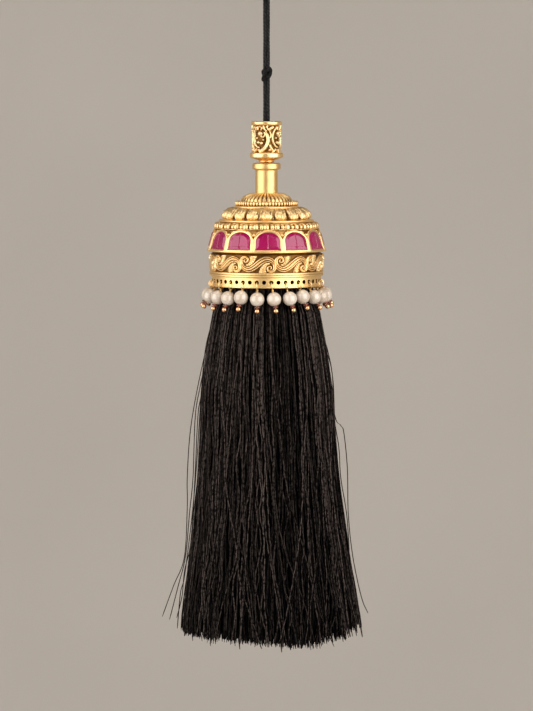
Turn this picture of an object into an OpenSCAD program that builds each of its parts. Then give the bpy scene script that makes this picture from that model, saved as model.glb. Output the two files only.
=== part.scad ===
// Braid tassel ornament: a gold bell cap with rubies and pearl drops over a long black
// thread tassel, hung from a cord with a collar bead.
// Millimetres, +Z up. The origin is the inside top of the loop that the ornament hangs by.

/* [Cord and loop] */
// Diameter of the black cord
cord_d = 2.1; // [1.8:0.1:2.2]
// Diameter of the single strand that forms the hanging loop
loop_strand_d = 1.05; // [0.8:0.05:1.2]
// Radius of the hanging loop to the middle of its strand
loop_r = 2.6; // [2.2:0.1:3.2]
// Height of the knot below the loop
loop_knot_z = -11.4; // [-13:0.1:-10]
// Height of the knot in the cord
knot_z = -35.6; // [-44:0.1:-24]

/* [Collar bead] */
// Height of the top of the collar
collar_top_z = -50; // [-50.4:0.1:-49.6]
// Radius of the collar's plain core behind the relief
collar_core_r = 3.7; // [3.5:0.05:3.9]
// Radius over the collar's relief
collar_relief_r = 4.4; // [4.2:0.05:4.5]
// Number of scroll groups round the collar
collar_groups = 5; // [3:1:5]

/* [Cap] */
// Bore through the collar and the neck, for the cord
bore_d = 2.4; // [2.3:0.05:2.6]
// Radius of the neck tube
neck_r = 3.35; // [3:0.05:3.5]
// Number of ribs on the crown
crown_ribs = 36; // [24:12:36]
// Number of petals round the dome
petals = 18; // [12:1:18]
// Beads in each of the two bead rings
ring_beads = 60; // [48:2:60]
// Number of ruby arches
arches = 12; // [12:1:12]
// Number of scrolls round the lower band
scrolls = 10; // [8:1:10]
// Outer radius of the pierced rim
rim_r = 16.5; // [16.4:0.05:16.6]
// Thickness of the rim wall
rim_wall = 0.8; // [0.7:0.05:0.9]
// Diameter of the holes through the rim
hole_d = 1.2; // [1:0.05:1.2]

/* [Rubies] */
// Width of a ruby
ruby_w = 7.2; // [6.8:0.1:7.3]
// Height of a ruby along the slope of the cap
ruby_h = 5.3; // [5:0.1:5.4]
// Depth of a ruby from its back to the ridge of its table
ruby_depth = 1.75; // [1.6:0.05:1.8]

/* [Pearl drops] */
// Number of pearl drops
drops = 24; // [12:1:24]
// Diameter of a pearl
pearl_d = 4.26; // [4:0.02:4.3]
// Diameter of the drop wire
wire_d = 0.34; // [0.3:0.02:0.36]
// Diameter of the metal ball that ends a drop
end_ball_d = 1.5; // [1.3:0.05:1.6]
// Outward lean of the front and back drops, in degrees
lean_front = 13; // [12:1:16]
// Outward lean of the side drops, in degrees
lean_side = 32; // [20:1:36]

/* [Tassel] */
// Number of locks round the tassel
locks = 32; // [24:1:36]
// Height of the lowest lock's tip
tassel_bottom_z = -206.3; // [-210:0.5:-200]
// How far the foot of the tassel drifts to the right
tassel_drift = 1.5; // [0:0.1:2]

/* [Hidden] */
$fn = 64;
overlap = 0.05;

// Heights of the cap's storeys, from its top ring to its lower edge
neck_ring_top_z = -62.45;
neck_ring_low_z = -64.4;
crown_top_z = -71.45;
crown_low_z = -73.9;
upper_beads_z = -74.45;
plate_z = -75.4;
petal_low_z = -79.4;
ledge_low_z = -80.0;
lower_beads_z = -81.15;
arcade_top_z = -82.1;
arcade_low_z = -88.25;
sill_low_z = -88.95;
band_top_z = -89.55;
band_low_z = -94.7;
moulding_low_z = -96.1;
rim_low_z = -99.1;
hole_z = -97.55;

// Radii of the cap's storeys
neck_ring_r = 4.25;
crown_r = 7.9;
upper_beads_r = 9.05;
plate_r = 9.75;
ledge_r = 14.3;
lower_beads_r = 14.85;
arcade_top_r = 15.7;
arcade_low_r = 17.4;
sill_r = 17.95;
band_wall_r = 16.5;
band_relief_r = 17.35;
moulding_r = 17.1;

// Inside of the cap, from its mouth to its roof: columns are radius and height
CAVITY = [
    [rim_r - rim_wall, rim_low_z - 1],
    [rim_r - rim_wall, -96.5],
    [15.4, -94],
    [15.0, -89],
    [13.6, -82.3],
    [11.4, -79],
    [8.6, -75.6],
    [5.2, -73.6],
    [bore_d / 2, -73.2],
];

// Arcade: each arch has its own flat, which leans back with the wall
arch_step = 360 / arches;
arcade_lean = atan((arcade_low_r - arcade_top_r) / (arcade_top_z - arcade_low_z));
arch_foot_r = 17.15;
bezel_w = 0.75;
bezel_proud = 0.3;
ruby_proud = 0.4;
ruby_gap = 0.1;
arch_sides = 8;
first_arch = 1.5;

// Crown: its dome is part of a larger ball
dome_r = 14.2;
dome_z = crown_top_z - sqrt(pow(dome_r, 2) - pow(neck_r, 2));

// Drops: the wire eye goes through every second hole and round the rim's lower edge
holes = drops * 2;
first_drop = 5;
eye_r = 1.1;
eye_centre_r = 16.2;
eye_centre_z = -98.62;
pearl_below_eye = 2.85;
spacer_top = pearl_d / 2 + 0.1;
spacer_h = 0.55;
spacer_d = 1.6;
ball_below_pearl = spacer_top + spacer_h + end_ball_d / 2 + 0.05;
pin_d = wire_d - 0.06;
drop_bore_d = pin_d + 0.24;

// Sway of the drops to one side: columns are angle round the cap and sway, in degrees
SWAY = [
    [0, 7],
    [20, 14],
    [40, 16],
    [60, 15],
    [130, 4.5],
    [180, 2.5],
    [230, 0.5],
    [290, -5],
    [335, -6],
    [350, 2],
    [360, 7],
];

// Outline of the tassel: columns are height and radius
TASSEL = [
    [-99, 13.6],
    [-103, 14.1],
    [-107, 15.8],
    [-118, 17.8],
    [-130, 19.4],
    [-144, 20.1],
    [-158, 21.2],
    [-172, 22.8],
    [-186, 24.6],
    [-199, 26.6],
];

// Route of the cord, from the tassel's head up to the knot below the loop
CORD_ROUTE = [
    [0, 0, -73.6],
    [0, 0, -62],
    [0, 0, -50],
    [0, 0, -44],
    [0, 0, -38],
    [0, 0, -32],
    [0, 0, -26],
    [0, 0, -20],
    [0, 0, -12.6],
];
cord_sides = 8;

PEARLS = [for (i = [1:drops]) str("pearl_", i)];
RUBIES = [for (i = [1:arches]) str("ruby_", i)];

gold = "goldenrod";
thread_black = "#1c1a1c";

// Copies of the children at equal steps round the axis
module around(count, first = 0) {
    for (i = [0:count - 1]) rotate([0, 0, first + i * 360 / count]) children();
}

// A ring with a round outer edge, from z_low to z_high
module round_ring(r_out, z_low, z_high) {
    edge = (z_high - z_low) / 2;
    translate([0, 0, z_low]) cylinder(r = r_out - edge, h = 2 * edge);
    translate([0, 0, z_low + edge])
        rotate_extrude() translate([r_out - edge, 0]) circle(r = edge, $fn = 32);
}

// Tube swept along a list of points that runs straight up
module upright_tube(route, d, sides) {
    rings = len(route);
    points = [
        for (p = route) for (k = [0:sides - 1])
            [p[0] + d / 2 * cos(k * 360 / sides), p[1] + d / 2 * sin(k * 360 / sides), p[2]]
    ];
    walls = [
        for (j = [0:rings - 2]) for (k = [0:sides - 1])
            let (next = (k + 1) % sides)
            [j * sides + k, (j + 1) * sides + k, (j + 1) * sides + next, j * sides + next]
    ];
    foot = [for (k = [0:sides - 1]) k];
    head = [for (k = [sides - 1:-1:0]) (rings - 1) * sides + k];
    polyhedron(points = points, faces = concat(walls, [foot, head]));
}

// Cord

module cord() {
    color(thread_black) upright_tube(CORD_ROUTE, cord_d, cord_sides);
}

// Turns of cord round the cord itself, as in an overhand knot
module knot_turns(z, strand_d, turn_r) {
    for (turn = [[-18, 0.55], [16, -0.55]])
        translate([0, 0, z + turn[1]])
            rotate([0, turn[0], 0])
                rotate_extrude() translate([turn_r, 0]) circle(d = strand_d, $fn = 24);
    translate([0, 0, z - 0.7]) cylinder(r = turn_r, h = 1.4);
}

module cord_knot() {
    color(thread_black) difference() {
        knot_turns(knot_z, 1.3, 1.25);
        translate([0, 0, knot_z - 4]) cylinder(d = cord_d + 0.16, h = 8);
    }
}

// Hanging loop: one strand bent round, whose legs go into a knot on the cord's end
module hang_loop() {
    centre_z = -(loop_r - loop_strand_d / 2);
    leg_foot_x = 0.55;
    leg_rise = centre_z - loop_knot_z;
    leg_lean = atan((loop_r - leg_foot_x) / leg_rise);
    color(thread_black) difference() {
        union() {
            translate([0, 0, centre_z]) rotate([90, 0, 0])
                rotate_extrude(angle = 180) translate([loop_r, 0])
                    circle(d = loop_strand_d, $fn = 24);
            for (side = [-1, 1])
                translate([side * leg_foot_x, 0, loop_knot_z])
                    rotate([0, side * leg_lean, 0])
                        cylinder(d = loop_strand_d, h = leg_rise / cos(leg_lean), $fn = 24);
            for (side = [-1, 1])
                translate([side * loop_r, 0, centre_z]) sphere(d = loop_strand_d, $fn = 24);
            knot_turns(loop_knot_z, 1.2, 1.2);
        }
        translate([0, 0, loop_knot_z - 4]) cylinder(d = cord_d + 0.16, h = 3);
    }
}

// Collar bead

// Piece of a flat ring, from one angle to another
module arc_strip(r, w, from, to) {
    reach = 4 * (r + w);
    half = (to - from) / 2;
    middle = (to + from) / 2;
    intersection() {
        difference() {
            circle(r = r + w / 2);
            circle(r = r - w / 2);
        }
        rotate(middle) polygon([
            [0, 0],
            [reach * cos(half), -reach * sin(half)],
            [reach, -reach * sin(half)],
            [reach, reach * sin(half)],
            [reach * cos(half), reach * sin(half)],
        ]);
    }
}

// Stands a flat shape upright on the wall: its x runs round, its y up
module wall_relief(z, r_in, r_out) {
    intersection() {
        translate([0, -r_in * 0.6, z]) rotate([90, 0, 0])
            linear_extrude(height = r_out) children();
        difference() {
            translate([0, 0, z - 10]) cylinder(r = r_out, h = 20);
            translate([0, 0, z - 11]) cylinder(r = r_in, h = 22);
        }
    }
}

// A pair of back-to-back scrolls with a short stem
module collar_scroll() {
    narrowing = 0.84;
    for (side = [-1, 1]) scale([side * narrowing, 1]) {
        translate([2.35, 0.3]) arc_strip(1.75, 0.55, 125, 250);
        translate([1.35, 2.55]) arc_strip(0.85, 0.5, 20, 215);
        translate([1.6, -2.75]) arc_strip(0.9, 0.5, 140, 345);
    }
}

module collar() {
    body_low_z = -59.4;
    relief_z = -55.35;
    foot_z = -62.35;
    granule_rows = [-53.4, -56];
    first_scroll = 12;
    color(gold) difference() {
        union() {
            round_ring(4.62, collar_top_z - 1.2, collar_top_z);
            translate([0, 0, body_low_z - 0.3])
                cylinder(r = collar_core_r, h = collar_top_z - body_low_z - 0.6);
            round_ring(5.05, body_low_z - 1.75, body_low_z + 0.05);
            translate([0, 0, foot_z]) cylinder(r1 = 2.3, r2 = 4.3, h = 1.6);
            around(collar_groups, first_scroll)
                wall_relief(relief_z, collar_core_r - 0.3, collar_relief_r) collar_scroll();
            around(collar_groups, first_scroll + 180 / collar_groups) for (z = granule_rows)
                translate([0, -(collar_relief_r - 0.62), z]) sphere(r = 0.72, $fn = 32);
        }
        translate([0, 0, foot_z - 1]) cylinder(d = bore_d, h = 16);
    }
}

// Cap

module neck() {
    round_ring(neck_ring_r, neck_ring_low_z, neck_ring_top_z);
    translate([0, 0, crown_top_z - 1]) cylinder(r = neck_r, h = neck_ring_low_z - crown_top_z + 2);
}

// Section of the crown's dome, raised by proud
module crown_section(proud) {
    intersection() {
        translate([0, crown_low_z - 0.2]) square([crown_r + proud, 4]);
        translate([0, dome_z]) circle(r = dome_r + proud * 0.6, $fn = 128);
    }
}

module crown() {
    rib_w = 0.42;
    rotate_extrude() crown_section(0);
    intersection() {
        rotate_extrude() crown_section(0.3);
        around(crown_ribs)
            translate([neck_r - 0.2, -rib_w / 2, crown_low_z - 0.1])
                cube([crown_r, rib_w, 4]);
    }
}

// Ring of soldered beads, every second one a little smaller
module bead_ring(z, ring_r, large_d, small_d) {
    for (i = [0:ring_beads - 1])
        rotate([0, 0, i * 360 / ring_beads])
            translate([ring_r, 0, z])
                sphere(d = i % 2 == 0 ? large_d : small_d, $fn = 24);
}

// One petal: a spindle laid along the slope of the dome
module petal() {
    top = [9.3, -75.3];
    low = [11.7, -80.1];
    run = norm(low - top);
    lean = atan((low[0] - top[0]) / (top[1] - low[1]));
    arc_r = 5.2;
    fat_r = 1.88;
    translate([low[0], 0, low[1]]) rotate([0, -lean, 0])
        rotate_extrude($fn = 48) intersection() {
            translate([fat_r - arc_r, run * 0.42]) circle(r = arc_r, $fn = 96);
            square([fat_r + 1, run]);
        }
}

module petal_ring() {
    translate([0, 0, petal_low_z - 0.1]) cylinder(r1 = 12.4, r2 = 9.6, h = 4.1);
    intersection() {
        around(petals, -90) petal();
        translate([0, 0, petal_low_z - 0.3]) cylinder(r = 20, h = plate_z - petal_low_z + 0.4);
    }
}

// Outline of an arch with a flat foot: h high, w wide, grown by grow all round
function arch_points(w, h, grow) =
    let (
        half = w / 2 + grow,
        rise = half * 0.78,
        spring = h + grow - rise
    )
    concat(
        [[-half, -grow], [half, -grow]],
        [for (i = [0:arch_sides])
            [half * cos(i * 180 / arch_sides), spring + rise * sin(i * 180 / arch_sides)]]
    );

// Puts a flat shape's local frame on the arcade: x round, y up the slope, z outwards
module on_arcade(i) {
    rotate([0, 0, first_arch + i * arch_step])
        translate([0, -arch_foot_r, arcade_low_z + 0.35])
            rotate([90 - arcade_lean, 0, 0])
                children();
}

module arcade_wall() {
    translate([0, 0, arcade_low_z])
        cylinder(r1 = arcade_low_r, r2 = arcade_top_r, h = arcade_top_z - arcade_low_z);
}

module bezels() {
    for (i = [0:arches - 1])
        on_arcade(i) translate([0, 0, -2])
            linear_extrude(height = 2 + bezel_proud)
                polygon(arch_points(ruby_w, ruby_h, bezel_w));
}

module ruby_pockets() {
    for (i = [0:arches - 1])
        on_arcade(i) translate([0, 0, ruby_proud - ruby_depth - ruby_gap])
            linear_extrude(height = 5)
                polygon(arch_points(ruby_w, ruby_h, ruby_gap));
}

// Small granules between the heads of the arches
module spandrel_beads() {
    around(arches, first_arch + arch_step / 2)
        translate([0, -16.12, -83.3]) rotate(-90) sphere(d = 1.1, $fn = 24);
}

// Half of an S scroll: its spiral, the turn below it and the middle stroke
module half_scroll() {
    strip_w = 0.8;
    turn = [-2.7, -0.35];
    turn_r = 1.9;
    spiral = [-3.35, 0.95];
    spiral_r = 1.25;
    stroke_angle = acos(turn_r / norm(turn));
    translate(turn) arc_strip(turn_r, strip_w, 180, 360 - stroke_angle + atan(turn[1] / turn[0]));
    translate([turn[0] - turn_r - strip_w / 2, turn[1] - overlap])
        square([strip_w, spiral[1] - turn[1] + 2 * overlap]);
    translate(spiral) arc_strip(spiral_r, strip_w, 60, 180);
    translate(spiral) arc_strip(spiral_r, strip_w, -60, 61);
    translate(spiral + [0, -0.25]) circle(r = 0.5);
    tip = turn + turn_r * [cos(stroke_angle - 7.4), -sin(stroke_angle - 7.4)];
    translate(tip / 2) rotate(atan2(-tip[1], -tip[0]))
        square([norm(tip) + 0.2, strip_w], center = true);
}

module scroll_shape() {
    half_scroll();
    rotate(180) half_scroll();
}

module scroll_band() {
    band_h = band_top_z - band_low_z;
    translate([0, 0, band_low_z]) cylinder(r = band_wall_r, h = band_h);
    around(scrolls, -9)
        wall_relief(band_low_z + band_h / 2, band_wall_r - 0.25, band_relief_r) scroll_shape();
}

module rim() {
    translate([0, 0, rim_low_z]) cylinder(r = rim_r, h = moulding_low_z - rim_low_z + 0.1);
    round_ring(moulding_r, moulding_low_z, moulding_low_z + 0.7);
    round_ring(moulding_r, band_low_z - 0.72, band_low_z + 0.02);
}

module rim_holes() {
    around(holes, first_drop - 90)
        translate([13, 0, hole_z]) rotate([0, 90, 0])
            cylinder(d = hole_d, h = 6, $fn = 24);
}

module cap() {
    color(gold) difference() {
        union() {
            neck();
            crown();
            translate([0, 0, upper_beads_z - 0.55]) cylinder(r = upper_beads_r - 0.15, h = 1.1);
            bead_ring(upper_beads_z, upper_beads_r, 0.92, 0.84);
            translate([0, 0, plate_z - 0.2]) cylinder(r = plate_r, h = 0.75);
            petal_ring();
            translate([0, 0, ledge_low_z]) cylinder(r = ledge_r, h = petal_low_z - ledge_low_z);
            translate([0, 0, arcade_top_z - 0.1])
                cylinder(r = lower_beads_r - 0.2, h = ledge_low_z - arcade_top_z + 0.2);
            bead_ring(lower_beads_z, lower_beads_r, 1.5, 1.22);
            arcade_wall();
            bezels();
            spandrel_beads();
            round_ring(sill_r, sill_low_z, arcade_low_z + 0.06);
            translate([0, 0, band_top_z - 0.1]) cylinder(r = band_wall_r, h = 0.8);
            scroll_band();
            rim();
        }
        rotate_extrude() polygon(concat(CAVITY, [[0, -73.2], [0, rim_low_z - 1]]));
        translate([0, 0, -80]) cylinder(d = bore_d, h = 20);
        ruby_pockets();
        rim_holes();
    }
}

// Ruby: an arched stone with bevelled edges and a table bent at a middle ridge
module ruby(i) {
    girdle = ruby_depth * 0.77;
    shoulder = ruby_depth * 0.93;
    bevel = 0.85;
    rim_line = arch_points(ruby_w, ruby_h, 0);
    table_line = arch_points(ruby_w, ruby_h, -bevel);
    n = len(rim_line);
    crest = 2 + arch_sides / 2;
    points = concat(
        [for (p = rim_line) [p[0], p[1], 0]],
        [for (p = rim_line) [p[0], p[1], girdle]],
        [for (k = [0:n - 1])
            [table_line[k][0], table_line[k][1], k == crest ? ruby_depth : shoulder]],
        [[0, bevel, ruby_depth], [0, 0, girdle]]
    );
    ridge_foot = 3 * n;
    girdle_foot = 3 * n + 1;
    walls = [for (k = [1:n - 1]) [k, (k + 1) % n, n + (k + 1) % n, n + k]];
    front_wall = [[0, 1, girdle_foot], [1, n + 1, girdle_foot], [0, girdle_foot, n]];
    bevels = [
        for (k = [1:n - 1]) let (next = (k + 1) % n)
            each [[n + k, n + next, 2 * n + k], [n + next, 2 * n + next, 2 * n + k]]
    ];
    foot_bevels = [
        [n, girdle_foot, 2 * n], [girdle_foot, ridge_foot, 2 * n],
        [girdle_foot, n + 1, 2 * n + 1], [girdle_foot, 2 * n + 1, ridge_foot]
    ];
    back = [for (k = [n - 1:-1:0]) k];
    tables = concat(
        [for (k = [1:crest - 1]) [ridge_foot, 2 * n + k, 2 * n + k + 1]],
        [for (k = [crest:n - 1]) [ridge_foot, 2 * n + k, 2 * n + (k + 1) % n]]
    );
    faces = concat([back], walls, front_wall, bevels, foot_bevels, tables);
    color("#b0104f") on_arcade(i) translate([0, 0, ruby_proud - ruby_depth])
        polyhedron(points = points, faces = [for (f = faces) [for (j = [len(f) - 1:-1:0]) f[j]]]);
}

// Drops

// Lean of drop i: more at the sides than at the front and back, and a little uneven
function drop_angle(i) = first_drop + i * 360 / drops;
function drop_lean(i) =
    let (side = pow(sin(drop_angle(i)), 2))
    lean_front + (lean_side - lean_front) * side + 3 * side * sin(i * 137);
function drop_sway(i) = lookup(drop_angle(i) % 360, SWAY);

// Height of a pearl's middle on its wire: every fourth drop hangs a little higher
function pearl_z(i) = -pearl_below_eye + (i % 4 == 2 ? 0.4 : 0);

// Puts a drop's local frame at its rim hole, swayed to its side
module on_hole(i) {
    rotate([0, 0, drop_angle(i)])
        translate([0, -eye_centre_r, hole_z])
            rotate([0, -drop_sway(i), 0])
                children();
}

// Puts a drop's local frame at the lowest point of its eye, with z up along its wire
module on_drop(i) {
    on_hole(i)
        translate([0, 0, eye_centre_z - eye_r - hole_z])
            rotate([-drop_lean(i), 0, 0])
                children();
}

module pearl(i) {
    color("#efe9e2") on_drop(i) translate([0, 0, pearl_z(i)]) difference() {
        sphere(d = pearl_d);
        translate([0, 0, -3]) cylinder(d = drop_bore_d, h = 6, $fn = 24);
    }
}

module drop_pin(i) {
    ball_z = pearl_z(i) - ball_below_pearl;
    on_hole(i)
        translate([0, 0, eye_centre_z - hole_z])
            rotate([0, 90, 0])
                rotate_extrude() translate([eye_r, 0]) circle(d = wire_d, $fn = 16);
    on_drop(i) {
        translate([0, 0, ball_z]) cylinder(d = pin_d, h = -ball_z, $fn = 16);
        translate([0, 0, ball_z]) sphere(d = end_ball_d, $fn = 32);
    }
}

module drop_pins() {
    color(gold) for (i = [0:drops - 1]) drop_pin(i);
}

module spacer_beads() {
    color("#7a3426") for (i = [0:drops - 1]) on_drop(i)
        translate([0, 0, pearl_z(i) - spacer_top - spacer_h]) difference() {
            round_ring(spacer_d / 2, 0, spacer_h);
            translate([0, 0, -1]) cylinder(d = drop_bore_d, h = 3, $fn = 24);
        }
}

// Tassel

// Radius of the tassel's outline at height z
function tassel_r(z) = lookup(z, TASSEL);

// Sideways place of the tassel's middle at height z
function tassel_x(z) = tassel_drift * pow(max(0, (-105 - z) / 100), 1.5);

// Head of gathered thread that fills the cap
module tassel_head() {
    head_gap = 0.35;
    rotate_extrude($fn = 40) polygon([
        [0, -73.6],
        [4.4, -74.3],
        [8.2 - head_gap, -76.1],
        [11.2 - head_gap, -79.6],
        [13.4 - head_gap, -83.2],
        [14.4 - head_gap, -88],
        [14.2 - head_gap, -96],
        [13.6, -99],
        [13, -104],
        [0, -104],
    ]);
}

// Backing of the locks
module tassel_core() {
    core_z = [-99, -112, -130, -150, -172, -188, -203];
    for (j = [0:len(core_z) - 2]) hull() {
        for (z = [core_z[j], core_z[j + 1]])
            translate([tassel_x(z), 0, z])
                cylinder(r = tassel_r(z) - 1.2, h = 0.01, $fn = 40);
    }
}

// One lock: a flattened bundle that follows the outline down to its own tip
module lock(i) {
    steps = 7;
    top_z = -97.5;
    tip_z = tassel_bottom_z + 3.5 + 3.2 * sin(i * 97) + 0.3 * sin(i * 41);
    turn = 360 / locks;
    function at_z(s) = top_z + (tip_z - top_z) * s;
    function at_angle(s) = i * turn + turn * 0.42 * sin(i * 73 + 200 * s) * s;
    function half_w(s) = tassel_r(at_z(s)) * sin(turn / 2) * (s > 0.97 ? 0.75 : 1.12);
    function half_t(s) = (s > 0.97 ? 0.8 : 1.1 + 0.75 * s) + 0.25 * s * sin(i * 59);
    for (j = [0:steps - 1]) hull() for (s = [j / steps, (j + 1) / steps])
        translate([tassel_x(at_z(s)), 0, at_z(s)])
            rotate([0, 0, at_angle(s)])
                translate([0, -(tassel_r(at_z(s)) - half_t(s)), 0])
                    scale([half_w(s), half_t(s), 1]) cylinder(r = 1, h = 0.01, $fn = 8);
}

module tassel() {
    color(thread_black) union() {
        tassel_head();
        tassel_core();
        for (i = [0:locks - 1]) lock(i);
    }
}

cord();
cord_knot();
hang_loop();
collar();
cap();
for (i = [1:arches]) ruby(i - 1);
for (i = [1:drops]) pearl(i - 1);
drop_pins();
spacer_beads();
tassel();
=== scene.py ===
"""A braid tassel ornament: gold bell cap with rubies and pearls over a black thread tassel.

Sizes are in millimetres in this file, and turned into metres where a mesh is made. Angles round the
axis start at the front and grow towards the right.
"""
import math

import bpy
import numpy as np
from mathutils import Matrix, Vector


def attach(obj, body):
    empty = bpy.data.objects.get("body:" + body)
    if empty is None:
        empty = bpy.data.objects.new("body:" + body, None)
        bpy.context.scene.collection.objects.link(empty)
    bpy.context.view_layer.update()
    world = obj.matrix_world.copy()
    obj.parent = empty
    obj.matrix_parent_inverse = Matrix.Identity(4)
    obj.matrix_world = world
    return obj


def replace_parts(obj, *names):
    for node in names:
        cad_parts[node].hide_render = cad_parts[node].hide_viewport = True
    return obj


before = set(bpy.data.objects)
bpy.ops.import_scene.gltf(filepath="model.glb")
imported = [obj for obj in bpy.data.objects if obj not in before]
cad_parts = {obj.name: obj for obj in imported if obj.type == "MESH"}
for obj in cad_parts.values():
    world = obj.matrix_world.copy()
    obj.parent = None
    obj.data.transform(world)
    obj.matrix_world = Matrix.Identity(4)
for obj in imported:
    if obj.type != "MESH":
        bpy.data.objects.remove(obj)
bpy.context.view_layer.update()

MM = 0.001
SEED = 11
TAU = 2 * math.pi

# Camera, worked out from the photograph
IMAGE_H = 711
MM_PER_PX = 0.3
COLLAR_TOP_PX = 121
COLLAR_TOP_Z = -50.0
CAMERA_DISTANCE = 1050.0
CAMERA_Z = -41.7
SENSOR_H = 36.0

# Storeys of the cap, as heights and radii
NECK_RING_TOP, NECK_RING_LOW, NECK_RING_R = -62.45, -64.4, 4.25
NECK_R = 3.35
CROWN_TOP, CROWN_LOW, CROWN_R = -71.45, -73.9, 7.9
UPPER_BEADS_Z, UPPER_BEADS_R = -74.45, 9.05
PLATE_Z, PLATE_R = -75.4, 9.75
PETAL_LOW, LEDGE_LOW, LEDGE_R = -79.4, -80.0, 14.3
LOWER_BEADS_Z, LOWER_BEADS_R = -81.15, 14.85
ARCADE_TOP, ARCADE_LOW = -82.1, -88.25
ARCADE_TOP_R, ARCADE_LOW_R = 15.7, 17.4
SILL_LOW, SILL_R = -88.95, 17.95
BAND_TOP, BAND_LOW, BAND_R = -89.55, -94.7, 16.5
BAND_RELIEF = 0.85
MOULDING_LOW, MOULDING_R = -96.1, 17.1
RIM_LOW, RIM_R, RIM_WALL = -99.1, 16.5, 0.8
HOLE_Z, HOLE_D = -97.55, 1.2
BORE_R = 1.2
CROWN_RIBS = 36
RING_BEADS = 60
PETALS = 18
ARCHES = 12
SCROLLS = 10
FIRST_SCROLL = -9.0
HOLES = 48
DROPS = 24

# Inner wall of the cap, as (r, z)
CAVITY = [
    (RIM_R - RIM_WALL, -96.5), (15.4, -94.0), (15.0, -89.0), (13.6, -82.3), (11.4, -79.0), (8.6, -75.6),
    (5.2, -73.6), (BORE_R, -73.2),
]

# Collar bead
COLLAR_BODY_LOW = -59.4
COLLAR_FOOT = -62.35
COLLAR_CORE_R, COLLAR_RELIEF_R = 3.7, 4.4
COLLAR_TOP_RING_R, COLLAR_LOW_RING_R = 4.62, 5.05
COLLAR_GROUPS = 5
FIRST_GRANULES = -24.0

# Rubies, and the leaning flats that carry them
RUBY_W, RUBY_H, RUBY_DEPTH, RUBY_PROUD = 7.2, 5.3, 1.75, 0.4
RUBY_BEVEL = 0.95
BEZEL_W = 0.75
FOOT_FLARE = 0.16
ARCH_FOOT_R, ARCH_FOOT_Z = 17.15, ARCADE_LOW + 0.35
FIRST_ARCH = 1.5
ARCADE_LEAN = math.atan((ARCADE_LOW_R - ARCADE_TOP_R) / (ARCADE_TOP - ARCADE_LOW))

# Drops
FIRST_DROP = 5.0
EYE_R, EYE_CENTRE_R, EYE_CENTRE_Z = 1.1, 16.2, -98.62
WIRE_D, PIN_D = 0.34, 0.28
WRAP_R, WRAP_WIRE_R, WRAP_TURNS = 0.25, 0.12, 2.2
PEARL_D = 4.26
PEARL_BELOW_EYE = 2.85
SPACER_TOP, SPACER_H = PEARL_D / 2 + 0.1, 0.55
END_BALL_D = 1.5
LEAN_FRONT, LEAN_SIDE = 13.0, 32.0
SWAY_ANGLES = [0, 20, 40, 60, 130, 180, 230, 290, 335, 350, 360]
SWAY = [7, 14, 16, 15, 4.5, 2.5, 0.5, -5, -6, 2, 7]

# Cord, from the tassel's head up to the knot below the loop
CORD_LOW, CORD_TOP = -73.6, -12.6
STRAND_R, STRAND_OUT, STRAND_PITCH = 0.56, 0.47, 3.2
KNOT_Z, KNOT_STRAND_R = -35.85, 0.62
LOOP_KNOT_Z, LOOP_KNOT_STRAND_R = -11.4, 0.5
LOOP_R = 2.6
LOOP_STRAND_D = 1.05
LOOP_FOOT_X = 0.55

# Outline of the tassel: heights, and the radius at each
TASSEL_TOP = -95.5
TASSEL_Z = [-206, -199, -186, -172, -158, -144, -130, -118, -107, -103, -99]
TASSEL_R = [27.2, 26.6, 24.6, 22.8, 21.2, 20.1, 19.4, 17.8, 15.8, 14.1, 13.6]
TASSEL_DRIFT = 1.5
HEART_TOP, HEART_R, HEART_THREADS = -192, 24.0, 1500
LOCKS = 32
LOCK_SHIFT = np.random.default_rng(SEED + 4).uniform(-0.05, 0.05, LOCKS)
LOCK_DRIFT = np.random.default_rng(SEED + 5).normal(0, 0.035, LOCKS)

# Height of the threads' tips, by how far to the right of the axis they hang, from -1 to 1
TIP_SIDE = [-1, -0.35, 0, 0.45, 0.65, 0.88, 1]
TIP_Z = [-203.5, -203.6, -204.1, -205.2, -204.0, -203.4, -201.4]

# The black core under the threads, painted shade standing in for the dense inside of the tassel
CORE_HEAD = [(2.0, -73.9), (4.2, -74.5), (7.6, -76.4), (10.7, -79.8), (12.9, -83.4), (13.9, -88), (13.6, -96)]
CORE_Z = [-99, -104, -110, -120, -135, -150, -170, -185, -195]

# Layers of threads: how many, points along each, sides, least and most depth under the outline, waves,
# spread of the tips, gathering into locks, share of strays, tone (painted shade, low for the deeper layers)
# and thickness
LAYERS = [
    ("inner", 430, 30, 3, 2.0, 3.2, 0.40, 0.6, 0.1, 0.0, 0.06, 1.0),
    ("middle", 480, 34, 3, 1.2, 2.1, 0.50, 0.6, 0.2, 0.03, 0.16, 1.0),
    ("outer", 330, 56, 4, 0.3, 1.2, 0.60, 0.6, 0.3, 0.10, 0.5, 1.0),
    ("skin", 185, 84, 4, -0.1, 0.35, 0.80, 0.7, 0.3, 0.25, 1.25, 1.0),
    ("crossing", 40, 84, 4, -0.45, -0.10, 0.28, 0.9, 0.0, 1.0, 1.25, 0.65),
]

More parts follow.
